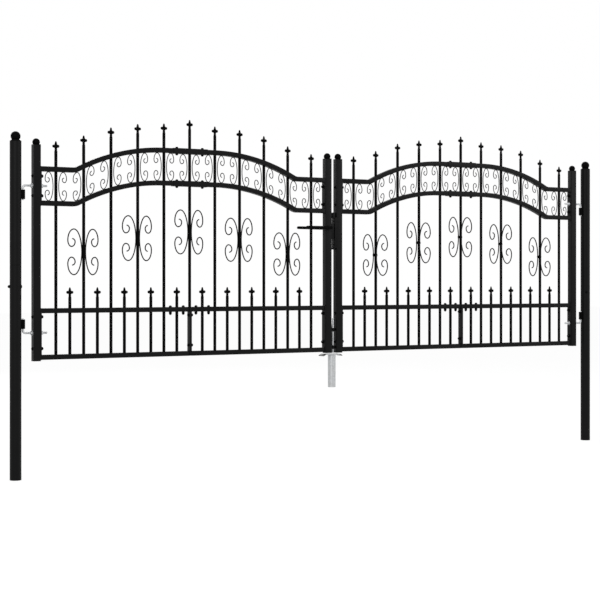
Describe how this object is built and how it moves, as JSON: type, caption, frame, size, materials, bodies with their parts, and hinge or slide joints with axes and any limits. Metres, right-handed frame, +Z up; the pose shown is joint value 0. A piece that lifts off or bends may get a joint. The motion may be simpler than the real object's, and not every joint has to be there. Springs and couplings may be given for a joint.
{
  "type": "double driveway gate",
  "caption": "Pair of arched steel driveway gate leaves with round bars, spear heads and scrolls, hung on two round posts, with a lever lock and a drop bolt.",
  "frame": {"origin": "centre of the flat foot of the left post", "axes": "+X from the left post to the right post, +Z up, -Y towards the viewer; both leaves open towards +Y"},
  "size_m": [4.06, 0.122, 2.0006],
  "materials": {
    "black_steel": "black powder coat, satin, slightly dusty",
    "galvanised_steel": "zinc plated and hot-dip galvanised, dull silver"
  },
  "bodies": {
    "posts": {"ground_socket_plate": "galvanised_steel", "ground_socket_tube": "galvanised_steel", "hinge_sockets": "black_steel", "left_post_lower": "black_steel", "left_post_upper": "black_steel", "post_caps": "black_steel", "right_post_lower": "black_steel", "right_post_upper": "black_steel"},
    "left_leaf": {"left_arch_sleeves": "black_steel", "left_band_scrolls": "black_steel", "left_bottom_rail": "black_steel", "left_butterfly_scrolls": "black_steel", "left_centre_flanges": "black_steel", "left_end_flanges": "black_steel", "left_hinge_bolts": "galvanised_steel", "left_hinge_stile": "black_steel", "left_long_bars": "black_steel", "left_lower_arch_rail": "black_steel", "left_meeting_stile": "black_steel", "left_mid_rail": "black_steel", "left_pickets": "black_steel", "left_spears": "black_steel", "left_stile_caps": "black_steel", "left_upper_arch_rail": "black_steel", "lock_case": "black_steel", "stop_plate": "black_steel"},
    "right_leaf": {"right_arch_sleeves": "black_steel", "right_band_scrolls": "black_steel", "right_bottom_rail": "black_steel", "right_butterfly_scrolls": "black_steel", "right_centre_flanges": "black_steel", "right_end_flanges": "black_steel", "right_hinge_bolts": "galvanised_steel", "right_hinge_stile": "black_steel", "right_long_bars": "black_steel", "right_lower_arch_rail": "black_steel", "right_meeting_stile": "black_steel", "right_mid_rail": "black_steel", "right_pickets": "black_steel", "right_spears": "black_steel", "right_stile_caps": "black_steel", "right_upper_arch_rail": "black_steel", "keeper": "black_steel", "drop_bolt_guides": "black_steel"},
    "lever": {"lever_handles": "black_steel", "lever_spindle": "black_steel"},
    "drop_bolt": {"drop_bolt": "galvanised_steel"}
  },
  "joints": [
    {"name": "left_leaf_swing", "type": "hinge", "parent": "posts", "child": "left_leaf", "pos_m": [0.0412, 0, 1.2], "axis": [0, 0, 1], "range_deg": [0, 100]},
    {"name": "right_leaf_swing", "type": "hinge", "parent": "posts", "child": "right_leaf", "pos_m": [3.9588, 0, 1.2], "axis": [0, 0, -1], "range_deg": [0, 100]},
    {"name": "lever_turn", "type": "hinge", "parent": "left_leaf", "child": "lever", "pos_m": [1.962, 0, 1.396], "axis": [0, -1, 0], "range_deg": [0, 45], "stiffness_Nm_per_rad": 2, "springref_deg": -20.05},
    {"name": "drop_bolt_slide", "type": "slide", "parent": "right_leaf", "child": "drop_bolt", "axis": [0, 0, 1], "range_m": [-0.06, 0.02]}
  ]
}
